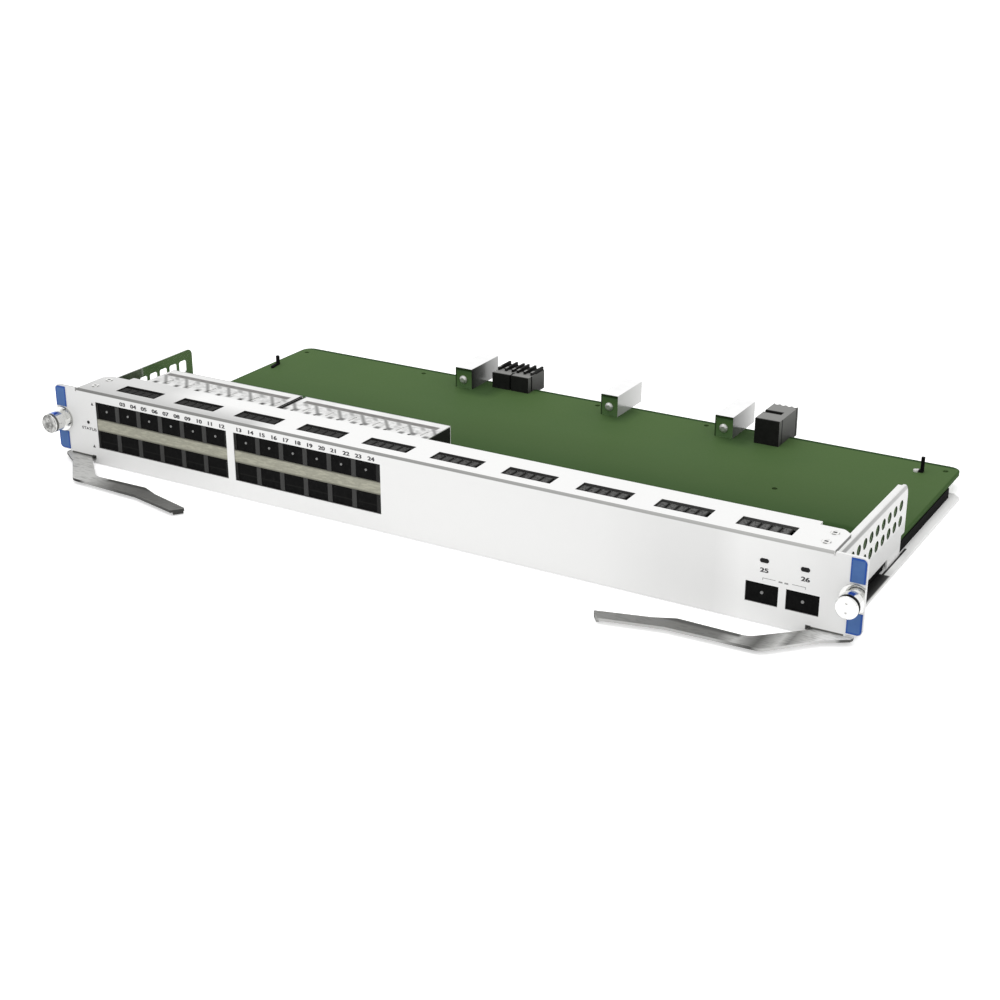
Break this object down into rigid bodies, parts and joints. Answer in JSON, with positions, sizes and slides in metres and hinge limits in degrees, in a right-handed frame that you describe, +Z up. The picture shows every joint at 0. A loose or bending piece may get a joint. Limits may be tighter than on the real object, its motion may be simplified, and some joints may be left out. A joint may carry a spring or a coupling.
{
  "type": "switch line card",
  "caption": "Wide flat line card with stacked plug-in ports on a flanged face plate, a board on a tray, rear connectors, swinging ejector levers and captive screws.",
  "frame": {"origin": "middle of the face plate's front face at its bottom edge, level with the underside of the tray", "axes": "+X to the right along the face plate as seen from the front, +Y from the face plate towards the rear connectors, +Z up"},
  "size_m": [0.4438, 0.2462, 0.0404],
  "materials": {
    "plate_paint": "smooth near-white powder paint",
    "finger_alloy": "dull dark spring alloy",
    "cage_steel": "nickel-plated sheet",
    "contact_weave": "woven beige contact strip",
    "plug_rubber": "soft black moulding",
    "black_plastic": "plain black moulding",
    "lens_plastic": "dark clear moulding",
    "board_laminate": "green solder-mask laminate",
    "turned_steel": "zinc-plated turned steel",
    "wall_steel": "bright sheet steel",
    "pad_paint": "blue paint",
    "knob_metal": "bright turned metal",
    "spring_steel": "spring steel",
    "lever_steel": "dark nickel-plated steel",
    "polished_metal": "polished casting",
    "connector_plastic": "dark grey moulding"
  },
  "bodies": {
    "card": {"face_plate": "plate_paint", "contact_fingers": "finger_alloy", "left_port_cage": "cage_steel", "right_port_cage": "cage_steel", "left_port_band": "contact_weave", "right_port_band": "contact_weave", "lower_port_plugs": "plug_rubber", "upper_port_plugs": "plug_rubber", "left_port_connectors": "black_plastic", "right_port_connectors": "black_plastic", "uplink_cages": "cage_steel", "uplink_plugs": "plug_rubber", "uplink_connectors": "black_plastic", "light_lenses": "lens_plastic", "status_lens": "lens_plastic", "tray": "plate_paint", "main_board": "board_laminate", "standoffs": "turned_steel", "right_board_rail": "black_plastic", "left_board_rail": "black_plastic", "right_side_wall": "wall_steel", "left_side_wall": "wall_steel", "flange_screws": "turned_steel", "right_ear_pads": "pad_paint", "left_ear_pads": "pad_paint", "right_screw_ferrule": "knob_metal", "left_screw_ferrule": "knob_metal", "right_screw_spring": "spring_steel", "left_screw_spring": "spring_steel", "right_lever_pin": "turned_steel", "left_lever_pin": "turned_steel", "left_guide_block": "polished_metal", "middle_guide_block": "polished_metal", "right_guide_block": "polished_metal", "guide_block_screws": "polished_metal", "twin_rear_connector": "connector_plastic", "tall_rear_connector": "connector_plastic", "left_board_clip": "black_plastic", "right_board_clip": "black_plastic"},
    "left_lever": {"left_ejector_lever": "lever_steel"},
    "right_lever": {"right_ejector_lever": "lever_steel"},
    "left_ring": {"left_screw_ring": "spring_steel"},
    "right_ring": {"right_screw_ring": "spring_steel"},
    "left_screw": {"left_captive_screw": "knob_metal"},
    "right_screw": {"right_captive_screw": "knob_metal"}
  },
  "joints": [
    {"name": "left_lever_swing", "type": "hinge", "parent": "card", "child": "left_lever", "pos_m": [-0.207, 0.008, 0.00225], "axis": [0, 0, -1], "range_deg": [-7, 42]},
    {"name": "right_lever_swing", "type": "hinge", "parent": "card", "child": "right_lever", "pos_m": [0.207, 0.008, 0.00225], "axis": [0, 0, 1], "range_deg": [-7, 42]},
    {"name": "left_screw_press", "type": "slide", "parent": "card", "child": "left_ring", "axis": [0, 1, 0], "range_m": [0, 0.003], "stiffness_N_per_m": 400, "springref_m": -0.002, "deforming": ["left_screw_spring"]},
    {"name": "right_screw_press", "type": "slide", "parent": "card", "child": "right_ring", "axis": [0, 1, 0], "range_m": [0, 0.003], "stiffness_N_per_m": 400, "springref_m": -0.002, "deforming": ["right_screw_spring"]},
    {"name": "left_screw_turn", "type": "hinge", "parent": "left_ring", "child": "left_screw", "pos_m": [-0.2168, 0, 0.0217], "axis": [0, 1, 0], "continuous": true},
    {"name": "right_screw_turn", "type": "hinge", "parent": "right_ring", "child": "right_screw", "pos_m": [0.2168, 0, 0.0217], "axis": [0, 1, 0], "continuous": true}
  ]
}
